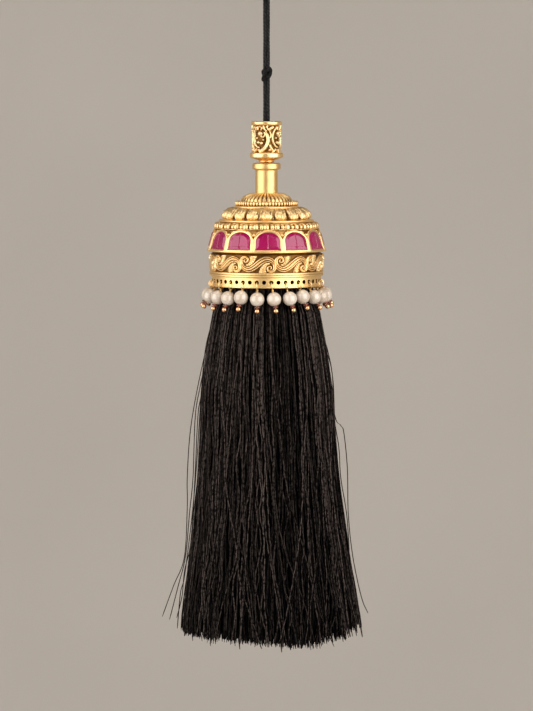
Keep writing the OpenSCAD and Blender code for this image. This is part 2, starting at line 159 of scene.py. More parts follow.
# Threads that stand off at the tassel's sides: distance from the axis and height of points along each
LOOSE_THREADS = [
    [(-16.8, -112.7), (-20.7, -129.8), (-23.0, -143.6), (-23.9, -157.4), (-23.9, -165.8), (-24.8, -181.4),
     (-28.1, -190.1), (-31.5, -199.4)],
    [(-17.7, -119.8), (-20.0, -129.8), (-21.5, -139.1), (-22.2, -157.4), (-23.3, -168.5), (-24.5, -181.4),
     (-26.8, -190.7), (-29.4, -200.8)],
    [(-19.6, -132.0), (-20.7, -139.1), (-21.6, -157.4), (-22.9, -176.9), (-24.8, -185.8), (-25.6, -193.6),
     (-27.2, -200.2)],
    [(-18.6, -120.0), (-21.6, -160.0), (-24.6, -186.0), (-26.0, -192.3), (-27.0, -203.2)],
    [(17.2, -115.0), (20.4, -137.6), (22.3, -141.4), (23.3, -143.6), (24.4, -154.7), (24.7, -168.5),
     (26.1, -181.4), (28.7, -193.6), (30.7, -198.5)],
    [(17.4, -117.0), (19.7, -125.3), (20.4, -139.0), (21.8, -148.1), (22.4, -157.4), (24.2, -168.5),
     (25.2, -182.5), (26.2, -190.1), (28.3, -200.6)],
    [(18.3, -118.4), (20.0, -127.6), (20.5, -138.1), (21.2, -150.0), (22.0, -160.0), (23.8, -172.0),
     (25.4, -188.0), (27.2, -201.0)],
]


# Meshes

def clamp(value):
    return np.clip(value, 0, 1)


def place(name, data):
    """A new object in the scene."""
    obj = bpy.data.objects.new(name, data)
    bpy.context.scene.collection.objects.link(obj)
    return obj


def mesh_object(name, points, faces, material, values=None, sharp=None):
    """A smooth object from points in mm and a list of face arrays, each of one corner count."""
    points = np.asarray(points, dtype=np.float32).reshape(-1, 3) * MM
    blocks = [np.asarray(block, dtype=np.int32) for block in faces]
    corners = np.concatenate([block.ravel() for block in blocks])
    sizes = np.concatenate([np.full(len(block), block.shape[1]) for block in blocks])
    mesh = bpy.data.meshes.new(name)
    mesh.vertices.add(len(points))
    mesh.vertices.foreach_set("co", points.ravel())
    mesh.loops.add(len(corners))
    mesh.loops.foreach_set("vertex_index", corners)
    mesh.polygons.add(len(sizes))
    mesh.polygons.foreach_set("loop_start", (np.cumsum(sizes) - sizes).astype(np.int32))
    mesh.update(calc_edges=True)
    mesh.validate()
    mesh.shade_smooth()
    if sharp is not None:
        mesh.set_sharp_from_angle(angle=math.radians(sharp))
    # The relief attribute holds each point's tone, mostly painted light and shade.
    if values is not None:
        mesh.attributes.new("relief", "FLOAT", "POINT").data.foreach_set("value", values.astype(np.float32))
    mesh.materials.append(material)
    return place(name, mesh)


def outward(points, faces):
    """Face arrays of a closed mesh, turned over where its volume comes out negative."""
    volume = 0.0
    for block in faces:
        for k in range(1, block.shape[1] - 1):
            a, b, c = points[block[:, 0]], points[block[:, k]], points[block[:, k + 1]]
            volume += np.sum(a * np.cross(b, c))
    return faces if volume >= 0 else [block[:, ::-1] for block in faces]


class Parts:
    """Collects small closed meshes with a tone for each point, and joins them into one piece."""

    def __init__(self):
        self.points, self.faces, self.values, self.count = [], [], [], 0

    def add(self, points, faces, values=1.0):
        """values is one tone, or one for each point or each row of points."""
        points, values = np.asarray(points, dtype=float).reshape(-1, 3), np.ravel(values)
        self.faces += [block + self.count for block in outward(points, faces)]
        self.points.append(points)
        self.values.append(np.repeat(values, len(points) // len(values)))
        self.count += len(points)

    def build(self, name, material, slot, sharp=None):
        points, values = np.concatenate(self.points), np.concatenate(self.values)
        obj = mesh_object(name, points, self.faces, material, values, sharp)
        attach(obj, "root")
        return obj


def quads(rows, cols, wrap_rows=False, wrap_cols=True):
    """Faces of a grid of rows by cols points: a tube, a closed ring, or without wrap_cols a sheet."""
    r, c = np.meshgrid(np.arange(rows - 1 + wrap_rows), np.arange(cols - 1 + wrap_cols), indexing="ij")
    r_next, c_next = (r + 1) % rows, (c + 1) % cols
    corners = [r * cols + c, r * cols + c_next, r_next * cols + c_next, r_next * cols + c]
    return np.stack([k.ravel() for k in corners], axis=1)


def tube(rows, cols):
    """Faces of a tube with flat ends."""
    k = np.arange(cols)
    return [quads(rows, cols), np.stack([k[::-1], k + (rows - 1) * cols])]


def fan(first, cols, tip):
    """Triangles between a ring of points and a tip."""
    k = np.arange(cols)
    return np.stack([first + k, first + (k + 1) % cols, np.full(cols, tip)], axis=1)


def full_turn(count):
    """Angles in even steps round a full turn."""
    return np.arange(count) * TAU / count


def polar(r, angle, z=0.0):
    """Points at a distance and an angle from the axis. This angle starts at the right."""
    r, angle, z = np.broadcast_arrays(r, angle, z)
    return np.stack([r * np.cos(angle), r * np.sin(angle), z], axis=-1)


def around(r, angle, z=0.0):
    """Points at a distance and an angle from the axis, with the angle from the front."""
    return polar(r, angle - math.pi / 2, z)


def revolved(profile, segments):
    """Points of a profile turned round the axis: a row for each of its (r, z) points."""
    profile = np.asarray(profile, dtype=float)
    return around(profile[:, :1], full_turn(segments), profile[:, 1:])


def add_ring(parts, profile, segments, values=1.0):
    """A solid of revolution with a closed profile."""
    parts.add(revolved(profile, segments), [quads(len(profile), segments, True)], values)


def rounded(profile, radius, steps):
    """A closed profile of (r, z) points with its corners rounded off."""
    corners = np.array(profile, dtype=float)
    t = np.linspace(0, 1, steps + 1)[:, None, None]
    back, ahead = np.roll(corners, 1, axis=0) - corners, np.roll(corners, -1, axis=0) - corners
    far_back, far_ahead = (np.linalg.norm(side, axis=1, keepdims=True) for side in (back, ahead))
    reach = np.minimum(radius, 0.45 * np.minimum(far_back, far_ahead))
    a, b = corners + back / far_back * reach, corners + ahead / far_ahead * reach
    curves = (1 - t) ** 2 * a + 2 * t * (1 - t) * corners + t**2 * b
    return curves.swapaxes(0, 1).reshape(-1, 2)


def add_ball(parts, centre, radius, rows=9, cols=14, out=None, stretch=1.0):
    """A ball with a point at each pole. With out given, it gets painted shade towards its neighbours in a
    ring and on its underside.
    """
    lat = np.linspace(-math.pi / 2, math.pi / 2, rows + 1)[1:-1, None]
    body = polar(np.cos(lat), full_turn(cols), np.sin(lat)).reshape(-1, 3)
    unit = np.concatenate([body, [[0, 0, -1], [0, 0, 1]]])
    tones = 1.0
    if out is not None:
        flank = np.abs(unit @ np.array([-out[1], out[0], 0]))
        under = clamp(-unit[:, 2])
        # Painted shade: darker on the flanks that face the neighbouring beads and on the underside.
        tones = clamp(1.15 - 2.0 * flank**3 - 0.9 * under**2)
    pole = len(body)
    faces = [quads(rows - 1, cols), fan(0, cols, pole)[:, ::-1], fan(pole - cols, cols, pole + 1)]
    parts.add(unit * [radius, radius, radius * stretch] + centre, faces, tones)


def circle_section(radius, sides):
    return polar(radius, full_turn(sides))[:, :2]


def directions(path, closed=False):
    """Unit directions along a path, at each of its points."""
    steps = np.roll(path, -1, axis=0) - np.roll(path, 1, axis=0) if closed else np.gradient(path, axis=0)
    return steps / np.linalg.norm(steps, axis=1, keepdims=True)


def add_sweep(parts, path, section, closed=False, up=None, value=1.0):
    """A section carried along a path. up, one or one a point, fixes its turn; value is its tone or tones."""
    path = np.asarray(path, dtype=float)
    along = directions(path, closed)
    guides = None if up is None else np.broadcast_to(up, path.shape)
    normal = np.array([0, 0, 1.0] if abs(along[0][2]) < 0.9 else [1.0, 0, 0])
    rings = []
    for i, tangent in enumerate(along):
        guide = normal if guides is None else guides[i]
        normal = guide - tangent * guide.dot(tangent)
        normal = normal / np.linalg.norm(normal)
        rings.append(path[i] + section[:, :1] * np.cross(tangent, normal) + section[:, 1:] * normal)
    rows, cols = len(path), len(section)
    faces = [quads(rows, cols, True)] if closed else tube(rows, cols)
    parts.add(rings, faces, np.broadcast_to(value, (rows, cols)))


def smooth_path(points, count):
    """A smooth curve through a few points."""
    points = np.asarray(points, dtype=float)
    padded = np.concatenate([2 * points[:1] - points[1:2], points, 2 * points[-1:] - points[-2:-1]])
    spans = len(padded) - 3
    t = np.linspace(0, spans, count)
    k = np.minimum(t.astype(int), spans - 1)
    u = (t - k)[:, None]
    p0, p1, p2, p3 = padded[k], padded[k + 1], padded[k + 2], padded[k + 3]
    return 0.5 * (
        2 * p1 + (p2 - p0) * u + (2 * p0 - 5 * p1 + 4 * p2 - p3) * u**2
        + (3 * p1 - p0 - 3 * p2 + p3) * u**3
    )


# Materials

def new_material(name):
    material = bpy.data.materials.new(name)
    material.use_nodes = True
    shader = next(n for n in material.node_tree.nodes if n.type == "BSDF_PRINCIPLED")
    return material, material.node_tree, shader


def set_inputs(node, values):
    for name, value in values.items():
        node.inputs[name].default_value = value


def noise(tree, scale, detail, rough):
    """Noise in the object's own coordinates."""
    node = tree.nodes.new("ShaderNodeTexNoise")
    set_inputs(node, {"Scale": scale, "Detail": detail, "Roughness": rough})
    tree.links.new(tree.nodes.new("ShaderNodeTexCoord").outputs["Object"], node.inputs["Vector"])
    return node.outputs["Fac"]


def painted_tone(tree):
    """The tone that a piece keeps at each of its points: mostly painted light and shade, with some tone that
    differs at random.
    """
    node = tree.nodes.new("ShaderNodeAttribute")
    node.attribute_name = "relief"
    return node.outputs["Fac"]


def math_node(tree, operation, *values):
    node = tree.nodes.new("ShaderNodeMath")
    node.operation = operation
    for socket, value in zip(node.inputs, values):
        if isinstance(value, float):
            socket.default_value = value
        else:
            tree.links.new(value, socket)
    return node.outputs[0]


def map_range(tree, source, low, high, to_low, to_high):
    node = tree.nodes.new("ShaderNodeMapRange")
    set_inputs(node, {"From Min": low, "From Max": high, "To Min": to_low, "To Max": to_high})
    tree.links.new(source, node.inputs["Value"])
    return node.outputs["Result"]


def base_colour(tree, shader, source, stops):
    """Colours the shader by a ramp of (place, colour) stops."""
    node = tree.nodes.new("ShaderNodeValToRGB")
    elements = node.color_ramp.elements
    while len(elements) < len(stops):
        elements.new(0.5)
    for element, (place, colour) in zip(elements, stops):
        element.position = place
        element.color = (*colour, 1)
    tree.links.new(source, node.inputs["Fac"])
    tree.links.new(node.outputs["Color"], shader.inputs["Base Color"])


def bump(tree, shader, height, distance, strength):
    node = tree.nodes.new("ShaderNodeBump")
    set_inputs(node, {"Distance": distance * MM, "Strength": strength})
    tree.links.new(height, node.inputs["Height"])
    tree.links.new(node.outputs["Normal"], shader.inputs["Normal"])


def gold_material(name, high, low, roughness, grain=0.02, grain_scale=5200.0):
    """Matte gold, dark where the painted tone is low: painted shade in hollows and under parts, painted light
    on raised parts; with patches of uneven tone and a fine grain.
    """
    material, tree, shader = new_material(name)
    patches, fine = noise(tree, 420.0, 4.0, 0.6), noise(tree, grain_scale, 3.0, 0.6)
    level = math_node(tree, "ADD", painted_tone(tree), math_node(tree, "MULTIPLY_ADD", patches, 0.30, -0.15))
    middle = tuple(0.6 * h + 0.4 * l for h, l in zip(high, low))
    base_colour(tree, shader, level, [(0.05, low), (0.35, middle), (0.7, high)])
    shader.inputs["Metallic"].default_value = 1.0
    rough = map_range(tree, fine, 0.3, 0.7, roughness - 0.06, roughness + 0.08)
    tree.links.new(rough, shader.inputs["Roughness"])
    bump(tree, shader, fine, grain, 0.8)
    return material


def clouded_material(name, clouds, stops, settings, lumps=None):
    """A skin with clouds of colour, made uneven by lumps: a noise, and its bump's distance and strength."""
    material, tree, shader = new_material(name)
    base_colour(tree, shader, noise(tree, *clouds), stops)
    set_inputs(shader, settings)
    if lumps:
        bump(tree, shader, noise(tree, *lumps[:3]), *lumps[3:])
    return material


def thread_material(name, dark, light, roughness, shine, fibre_scale):
    """Black silk: tones differ from thread to thread and are painted shade on the inner layers; painted
    glints of a fine twist spot the colour, and a bump gives the twist its relief.
    """
    material, tree, shader = new_material(name)
    # Painted glints: a noise brightens the colour in spots along the twist.
    painted_glints = map_range(tree, noise(tree, 0.5 * fibre_scale, 1.0, 0.5), 0.34, 0.60, 0.12, 1.0)
    level = math_node(tree, "MULTIPLY", painted_tone(tree), painted_glints)
    base_colour(tree, shader, level, [(0.05, dark), (0.8, light)])
    set_inputs(shader, {"Roughness": roughness, "Specular IOR Level": shine})
    bump(tree, shader, noise(tree, fibre_scale, 2.0, 0.6), 0.12, 0.7)
    return material


GOLD = gold_material("gold", (0.96, 0.67, 0.30), (0.17, 0.06, 0.006), 0.38)
GOLD_BRIGHT = gold_material("gold_bright", (0.98, 0.70, 0.34), (0.26, 0.11, 0.018), 0.32, 0.012)
GOLD_CAST = gold_material("gold_cast", (1.0, 0.755, 0.42), (0.14, 0.068, 0.018), 0.38)
GOLD_STIPPLED = gold_material("gold_stippled", (0.98, 0.71, 0.36), (0.17, 0.065, 0.008), 0.42, 0.07, 2300.0)
ROSE_GOLD = gold_material("rose_gold", (0.90, 0.52, 0.28), (0.22, 0.09, 0.03), 0.24, 0.01)
RUBY = clouded_material(
    "ruby", (260.0, 3.0, 0.5), [(0.3, (0.23, 0.0, 0.052)), (0.7, (0.33, 0.0, 0.080))],
    {"Roughness": 0.17, "IOR": 1.74, "Specular Tint": (1.0, 0.68, 0.84, 1), "Coat Weight": 0.25,
     "Coat Roughness": 0.08},
    (900.0, 2.0, 0.5, 0.02, 0.25),
)
PEARL = clouded_material(
    "pearl", (330.0, 4.0, 0.55),
    [(0.25, (0.50, 0.39, 0.30)), (0.55, (0.63, 0.545, 0.46)), (0.8, (0.70, 0.65, 0.59))],
    {"Roughness": 0.30, "IOR": 1.75, "Coat Weight": 0.9, "Coat Roughness": 0.10},
    (620.0, 3.0, 0.55, 0.05, 0.35),
)
SPACER = clouded_material(
    "spacer", (700.0, 2.0, 0.5), [(0.3, (0.10, 0.016, 0.010)), (0.7, (0.26, 0.05, 0.028))],
    {"Roughness": 0.25, "Coat Weight": 0.4},
)
CORD_BLACK = thread_material("cord_black", (0.001, 0.001, 0.0012), (0.026, 0.027, 0.029), 0.45, 0.10, 3200.0)
THREAD_BLACK = thread_material(
    "thread_black", (0.0004, 0.0002, 0.0002), (0.082, 0.064, 0.058), 0.5, 0.06, 2400.0
)


# Camera and cord

def aimed(name, data, location, target):
    """A camera or a lamp at a location, turned to a target."""
    obj = place(name, data)
    obj.location = location
    obj.rotation_euler = (Vector(target) - obj.location).to_track_quat("-Z", "Y").to_euler()
    return obj


def camera_rig():
    """A long lens a little above the object's middle, with the axis in the middle of the picture."""
    camera = bpy.data.cameras.new("camera")
    camera.sensor_fit = "VERTICAL"
    camera.sensor_height = SENSOR_H
    camera.lens = CAMERA_DISTANCE / MM_PER_PX * SENSOR_H / IMAGE_H
    camera.clip_start, camera.clip_end = 0.05, 20.0
    middle_z = COLLAR_TOP_Z - (IMAGE_H / 2 - COLLAR_TOP_PX) * MM_PER_PX
    location = (0, -CAMERA_DISTANCE * MM, CAMERA_Z * MM)
    bpy.context.scene.camera = aimed("camera", camera, location, (0, 0, middle_z * MM))


def add_knot(parts, z, ring_r, rise, tilt, strand_r):
    """An overhand knot round the cord, higher on its right by tilt."""
    t = full_turn(72)
    path = polar(ring_r + 0.30 * np.cos(3 * t), 2 * t, z + rise * np.sin(3 * t))
    path[:, 2] += tilt * path[:, 0]
    add_sweep(parts, path, circle_section(strand_r, 12), closed=True, value=0.4)


def cord():
    """Two twisted strands of three plies side by side, up from the tassel's head to the loop's knot."""
    sides = 24
    ply = np.abs(np.cos(1.5 * full_turn(sides)))
    section = circle_section(STRAND_R, sides) * (0.86 + 0.14 * ply**0.6)[:, None]
    z = np.linspace(CORD_LOW, CORD_TOP, 300)
    swing = 0.28 * np.sin(z / 5.3) + 0.18 * np.sin(z / 2.1 + 1.0)
    parts = Parts()
    for sign in (-1, 1):
        path = polar(sign * STRAND_OUT, swing, z)
        up = polar(1.0, sign - z / STRAND_PITCH * TAU)
        # Painted shade: dark in the grooves between the plies, bright on their crowns.
        add_sweep(parts, path, section, up=up, value=0.06 + 0.94 * ply**1.5)
    obj = parts.build("cord_strands", CORD_BLACK, "black_cord")
    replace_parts(obj, "cord")
    return obj


def cord_knot():
    parts = Parts()
    add_knot(parts, KNOT_Z, 0.85, 1.3, 0.6, KNOT_STRAND_R)
    obj = parts.build("cord_knot_tied", CORD_BLACK, "black_cord")
    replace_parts(obj, "cord_knot")
    return obj


def hang_loop():
    """The loop of a single strand, and the knot at its foot."""
    turn = np.radians(np.linspace(-12, 192, 9))
    bend = polar(LOOP_R, turn)[:, [0, 2, 1]] + [0, 0, LOOP_STRAND_D / 2 - LOOP_R]
    right = np.array([(LOOP_FOOT_X, 0, LOOP_KNOT_Z), (LOOP_FOOT_X * 1.6, 0, LOOP_KNOT_Z + 2.5)])
    path = smooth_path(np.concatenate([right, bend, right[::-1] * [-1, 1, 1]]), 90)
    parts = Parts()
    add_sweep(parts, path, circle_section(LOOP_STRAND_D / 2, 10), up=(0, 1, 0), value=0.4)
    add_knot(parts, LOOP_KNOT_Z, 0.80, 0.85, 0.3, LOOP_KNOT_STRAND_R)
    obj = parts.build("hang_loop_strand", CORD_BLACK, "black_cord")
    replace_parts(obj, "hang_loop")
    return obj


camera_rig()
cord_piece, knot_piece, loop_piece = cord(), cord_knot(), hang_loop()


# Relief on round walls: height fields over the unrolled wall

# Scroll band: middle of a scroll's spiral, the ribbon from there to the scroll's middle with its half
# widths, and the leaf in the bend. The other half of a scroll is the same turned half round.
SPIRAL = (-3.62, 1.12)
SCROLL_BEND = [(-4.88, 0.10), (-4.40, -0.85), (-3.45, -1.42), (-2.30, -1.48), (-1.10, -0.88), (0.0, 0.0)]
SCROLL_BEND_W = [0.60, 0.70, 0.80, 0.90, 0.96, 0.98]
SCROLL_LEAF = [(-3.30, -0.22), (-2.60, -0.05), (-1.98, 0.60), (-1.60, 1.35), (-1.45, 2.3)]

# Collar: strokes with their half widths, and granules with their radii
COLLAR_STROKES = [
    ([(1.50, 1.75), (2.02, 1.0), (2.28, 0.0), (2.18, -1.1), (1.72, -2.2), (1.0, -3.1), (0.1, -3.75)], 0.50),
    ([(0.35, 0.75), (0.85, 0.55), (1.30, 0.85), (1.62, 1.45)], 0.27),
    ([(-0.70, 3.55), (-1.50, 2.5), (-1.98, 1.2), (-2.02, -0.1), (-1.72, -1.3), (-1.05, -2.2),
      (-0.35, -2.55)], 0.29),
    ([(-2.70, -1.9), (-2.45, -2.7), (-1.95, -3.4)], 0.34),
    ([(-1.15, -3.1), (-1.50, -3.55), (-2.0, -3.95)], 0.30),
    ([(-2.95, 2.75), (-2.55, 3.15), (-2.0, 3.45)], 0.42),
    ([(-2.75, 2.1), (-2.50, 1.2), (-2.65, 0.3)], 0.24),
    ([(-0.60, 2.75), (-0.45, 3.4), (0.15, 3.65), (0.62, 3.25), (0.40, 2.7)], 0.24),
    ([(1.05, 3.75), (1.25, 3.0), (1.75, 2.4)], 0.30),
    ([(2.10, 3.9), (2.05, 3.3), (2.35, 2.7)], 0.25),
]
COLLAR_GRANULES = [
    (0.05, 1.55, 0.70), (-0.50, -1.05, 0.46), (0.38, -1.25, 0.50), (-0.95, 0.25, 0.34), (-0.25, -3.35, 0.42),
    (0.95, -0.3, 0.30), (1.75, 3.55, 0.26), (2.72, -3.3, 0.36),
]


def relief_ring(name, outer_r, inner_r, z_low, z_high, height, depth, cols, rows, shade_gain):
    """A cast ring whose outer wall is raised by height(x, y), for x round the wall and y up, in mm."""
    edge = 0.12
    angles = full_turn(cols) - math.pi
    z = np.linspace(z_low, z_high, rows)[:, None]
    field = height(*np.broadcast_arrays(angles * outer_r, z))
    field = field * clamp(np.minimum(z - z_low, z_high - z) / edge)
    outer = around(outer_r + depth * field, angles, z)
    inner = around(inner_r, angles, [[z_high], [z_low]])
    # Painted light and shade: the raised relief bright, its ground and the ring's inner wall dark.
    tones = np.concatenate([clamp(shade_gain * field - 0.1), np.zeros((2, cols))])
    parts = Parts()
    parts.add(np.concatenate([outer, inner]), [quads(rows + 2, cols, True)], tones)
    return parts.build(name, GOLD_CAST, "gold", sharp=60)


def run_along(line):
    """How far along a line each of its points is, from 0 to 1."""
    steps = np.linalg.norm(np.diff(line, axis=0), axis=1)
    return np.concatenate([[0], np.cumsum(steps)]) / steps.sum()


def signed_distance(x, y, line):
    """Signed distance from each point to a curve, and how far along it, from 0 to 1."""
    run = run_along(line)
    best, side, along = np.full(x.shape, 1e9), np.ones(x.shape), np.zeros(x.shape)
    for (ax, ay), (bx, by), start, end in zip(line, line[1:], run, run[1:]):
        dx, dy = bx - ax, by - ay
        t = clamp(((x - ax) * dx + (y - ay) * dy) / (dx * dx + dy * dy))
        ex, ey = x - ax - t * dx, y - ay - t * dy
        d = np.hypot(ex, ey)
        closer = d < best
        best = np.where(closer, d, best)
        side = np.where(closer, np.sign(dx * ey - dy * ex), side)
        along = np.where(closer, start + t * (end - start), along)
    return best * side, along


def repeats(x, first, wall_r, count):
    """Places round a wall, seen from the nearest of count repeats and from its two neighbours."""
    pitch = TAU * wall_r / count
    local = (x - math.radians(first) * wall_r + pitch / 2) % pitch - pitch / 2
    return [local + shift for shift in (-pitch, 0, pitch)]


def scroll_height(x, z):
    """Height field of the scroll band: ribbed S scrolls, with a leaf in each of their bends."""
    y = z - (BAND_TOP + BAND_LOW) / 2
    curl_a = np.radians(np.linspace(-250, 180, 15))
    curl_r = 1.36 * 1.38 ** ((curl_a - math.pi) / (math.pi / 2))
    curl = polar(curl_r, curl_a)[:, :2] + SPIRAL
    half = np.concatenate([curl, SCROLL_BEND])
    half_widths = np.concatenate([np.maximum(0.20, 0.42 * curl_r), SCROLL_BEND_W])
    run = run_along(half) / 2
    ribbon = smooth_path(np.concatenate([half, -half[-2::-1]]), 140)
    leaf = smooth_path(SCROLL_LEAF, 14)
    field = np.zeros(x.shape)
    for local in repeats(x, FIRST_SCROLL, BAND_R, SCROLLS):
        d, along = signed_distance(local, y, ribbon)
        half_w = np.interp(np.minimum(along, 1 - along), run, half_widths)
        u = np.clip(np.abs(d) / half_w, 0, 1.2)
        body = clamp(1 - u**2) ** 0.4
        grooves = 0.85 * np.exp(-(((np.abs(d) - 0.40 * half_w) / 0.14) ** 2)) * (half_w > 0.62)
        grooves += 0.6 * np.exp(-((d / 0.12) ** 2)) * (half_w <= 0.62) * (half_w > 0.33)
        field = np.maximum(field, clamp(body - grooves * (u < 1)))
        for sign in (1, -1):
            d, along = signed_distance(local, y, leaf * sign)
            body = clamp(1 - (d / (0.30 + 0.85 * along)) ** 2) ** 0.4
            veins = 0.4 * (0.5 + 0.5 * np.cos(TAU * (along * 5.5 + 0.6 * np.abs(d))))
            field = np.maximum(field, (0.78 - veins) * body)
    return field


def strip_height(distance, half_w, groove):
    """Height of a rounded strip with a groove along its middle, from 0 to 1."""
    inside = clamp(1 - (distance / half_w) ** 2) ** 0.5
    groove = groove * np.exp(-((distance / (0.22 * half_w)) ** 2))
    return clamp(inside - groove) * (distance < half_w)


def collar_height(x, z):
    """Height field of the collar: dense scrollwork with granules, in groups round the barrel."""
    y = z - (COLLAR_TOP_Z - 1.1 + COLLAR_BODY_LOW) / 2
    field = np.zeros(x.shape)
    for local in repeats(x, FIRST_GRANULES, COLLAR_RELIEF_R, COLLAR_GROUPS):
        for points, width in COLLAR_STROKES:
            d, _ = signed_distance(local, y, smooth_path(points, 3 * len(points)))
            field = np.maximum(field, strip_height(d, 1.12 * width, 0.25 if width > 0.4 else 0.0))
        for granule_x, granule_y, size in COLLAR_GRANULES:
            d = np.hypot(local - granule_x, y - granule_y)
            field = np.maximum(field, 1.05 * strip_height(d, 1.1 * size, 0.0))
    return field


def collar():
    """Cast bead on the cord: a relief barrel between two rings, on a conical foot."""
    barrel = relief_ring(
        "collar_relief", COLLAR_CORE_R, 3.0, COLLAR_BODY_LOW - 0.1, COLLAR_TOP_Z - 1.05, collar_height,
        COLLAR_RELIEF_R - COLLAR_CORE_R + 0.12, 300, 100, 1.15,
    )
    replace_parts(barrel, "collar")
    parts = Parts()
    top, low, core_r, core_z = COLLAR_TOP_Z, COLLAR_BODY_LOW, 3.4, -58
    top_ring = [
        (BORE_R, top), (COLLAR_TOP_RING_R, top), (COLLAR_TOP_RING_R, top - 1.2), (core_r, top - 1.25),
        (core_r, core_z), (BORE_R, core_z),
    ]
    add_ring(parts, rounded(top_ring, 0.5, 4), 72)
    foot = [
        (BORE_R, core_z + 0.2), (3.5, core_z + 0.2), (3.6, low + 0.05), (COLLAR_LOW_RING_R, low + 0.05),
        (COLLAR_LOW_RING_R, low - 1.55), (4.1, low - 1.75), (3.5, low - 2.05), (2.4, low - 2.2),
        (2.3, COLLAR_FOOT), (BORE_R, COLLAR_FOOT),
    ]
    add_ring(parts, rounded(foot, 0.6, 4), 72)
    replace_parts(parts.build("collar_rings", GOLD_BRIGHT, "gold", sharp=40), "collar")


# Cap

def cap_neck():
    """Neck ring and tube, plain and polished."""
    low = -72.2
    profile = rounded([
        (BORE_R, NECK_RING_TOP), (NECK_RING_R, NECK_RING_TOP), (NECK_RING_R, NECK_RING_LOW),
        (NECK_R, NECK_RING_LOW - 0.05), (NECK_R, low), (BORE_R, low),
    ], 0.75, 5)
    parts = Parts()
    add_ring(parts, profile, 96, 0.55)
    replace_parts(parts.build("cap_neck", GOLD, "gold", sharp=40), "cap")


def cap_crown():
    """The ribbed crown between neck and upper bead ring."""
    cols = 12 * CROWN_RIBS
    angles = full_turn(cols)
    foot_r = NECK_R - 0.1
    line = smooth_path([
        (foot_r, CROWN_TOP), (4.8, -71.8), (6.45, -72.5), (7.35, -73.15), (CROWN_R - 0.2, CROWN_LOW),
    ], 22)
    r, z = line[:, :1], line[:, 1:]
    normal = directions(line)[:, ::-1] * [-1, 1]
    wave = 1 - np.abs(angles * CROWN_RIBS / TAU % 1.0 * 2 - 1) ** 2.2
    strength = 0.55 * clamp((r - NECK_R) / 1.3) * clamp((CROWN_R - 0.25 - r) / 0.7)
    lift = strength * (wave - 0.55)
    outer = around(r + lift * normal[:, :1], angles, z + lift * normal[:, 1:])
    under = revolved([(CROWN_R - 0.2, CROWN_LOW - 0.9), (5.2, CROWN_LOW + 0.6), (foot_r, -72.6)], cols)
    # Painted light and shade: rib tops bright, grooves dark, more shade towards the crown's edge, and black
    # underneath.
    edge_shade = 1 - 0.5 * clamp((r - CROWN_R + 1.3) / 1.1)
    tones = np.concatenate([1.15 * edge_shade * wave**1.5, np.zeros((3, cols))])
    parts = Parts()
    parts.add(np.concatenate([outer, under]), [quads(len(tones), cols, True)], tones)
    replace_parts(parts.build("cap_crown", GOLD, "gold", sharp=60), "cap")


def cap_dome():
    """The turned body that carries petals, bead rings, arcade, band and mouldings."""
    band_r, groove_z = BAND_R - 0.35, BAND_LOW - 0.71
    # Outline as (r, z, tone); the tone is painted shade, low behind the upper beads, under the plate and the
    # ledge, behind the stones, on the band's ground, in the moulding's groove and inside the cap.
    outline = np.array([
        (8.7, CROWN_LOW - 0.15, 0.55), (8.9, UPPER_BEADS_Z - 0.7, 0.1), (PLATE_R - 0.2, PLATE_Z + 0.12, 1),
        (PLATE_R, PLATE_Z - 0.15, 1), (9.7, PLATE_Z - 0.45, 0.35), (12.2, PETAL_LOW + 0.35, 1),
        (13.6, PETAL_LOW + 0.05, 1), (LEDGE_R, PETAL_LOW - 0.05, 1), (LEDGE_R, LEDGE_LOW + 0.15, 1),
        (14.1, LEDGE_LOW - 0.05, 0.2), (14.1, ARCADE_TOP + 0.3, 0.2), (15.45, ARCADE_TOP + 0.2, 1),
        (15.45, ARCADE_TOP, 1), (ARCADE_TOP_R - 0.9, ARCADE_TOP - 0.2, 0.15),
        (ARCADE_LOW_R - 1.0, ARCADE_LOW, 0.15), (SILL_R, ARCADE_LOW + 0.02, 1), (SILL_R, SILL_LOW + 0.18, 1),
        (BAND_R - 0.1, SILL_LOW + 0.02, 0.05), (band_r, BAND_TOP, 0.05), (band_r, BAND_LOW, 0.05),
        (MOULDING_R, BAND_LOW - 0.02, 0.6), (MOULDING_R, groove_z + 0.05, 0.6),
        (MOULDING_R - 0.25, groove_z, 0.2), (MOULDING_R, groove_z - 0.05, 0.6),
        (MOULDING_R, MOULDING_LOW, 0.6), (RIM_R - 0.1, MOULDING_LOW - 0.05, 1),
        *[(r, z, 0.2) for r, z in CAVITY],
    ])
    parts = Parts()
    add_ring(parts, rounded(outline[:, :2], 0.22, 3), 192, outline[:, 2])
    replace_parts(parts.build("cap_dome", GOLD, "gold", sharp=40), "cap")


def ring_of_beads(name, z, ring_r, large_d, small_d, stretch, shift=0.0):
    """Large and small beads in turn, with the small ones moved round by shift of a step."""
    parts = Parts()
    rng = np.random.default_rng(SEED + 1)
    for i in range(RING_BEADS):
        size, moved = (small_d, shift) if i % 2 else (large_d, 0)
        size *= 1 + 0.03 * rng.standard_normal()
        out = around(1.0, (i + moved) * TAU / RING_BEADS)
        # Each bead gets painted shade on its flanks and underside.
        add_ball(parts, out * ring_r + [0, 0, z], size / 2, out=out, stretch=stretch)
    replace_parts(parts.build(name, GOLD_BRIGHT, "gold"), "cap")


def bead_scallops():
    """Small arches over each pair of beads in the lower ring."""
    parts = Parts()
    pairs = RING_BEADS // 2
    t = np.linspace(-1, 1, 11)
    for i in range(pairs):
        angle = (i - 0.22 + 0.46 * t) * TAU / pairs
        path = around(LOWER_BEADS_R + 0.1, angle, LOWER_BEADS_Z + 0.35 + 0.55 * np.sqrt(1 - t**2))
        add_sweep(parts, path, circle_section(0.10, 6), up=around(1.0, angle), value=0.6)
    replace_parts(parts.build("cap_scallops", GOLD, "gold"), "cap")


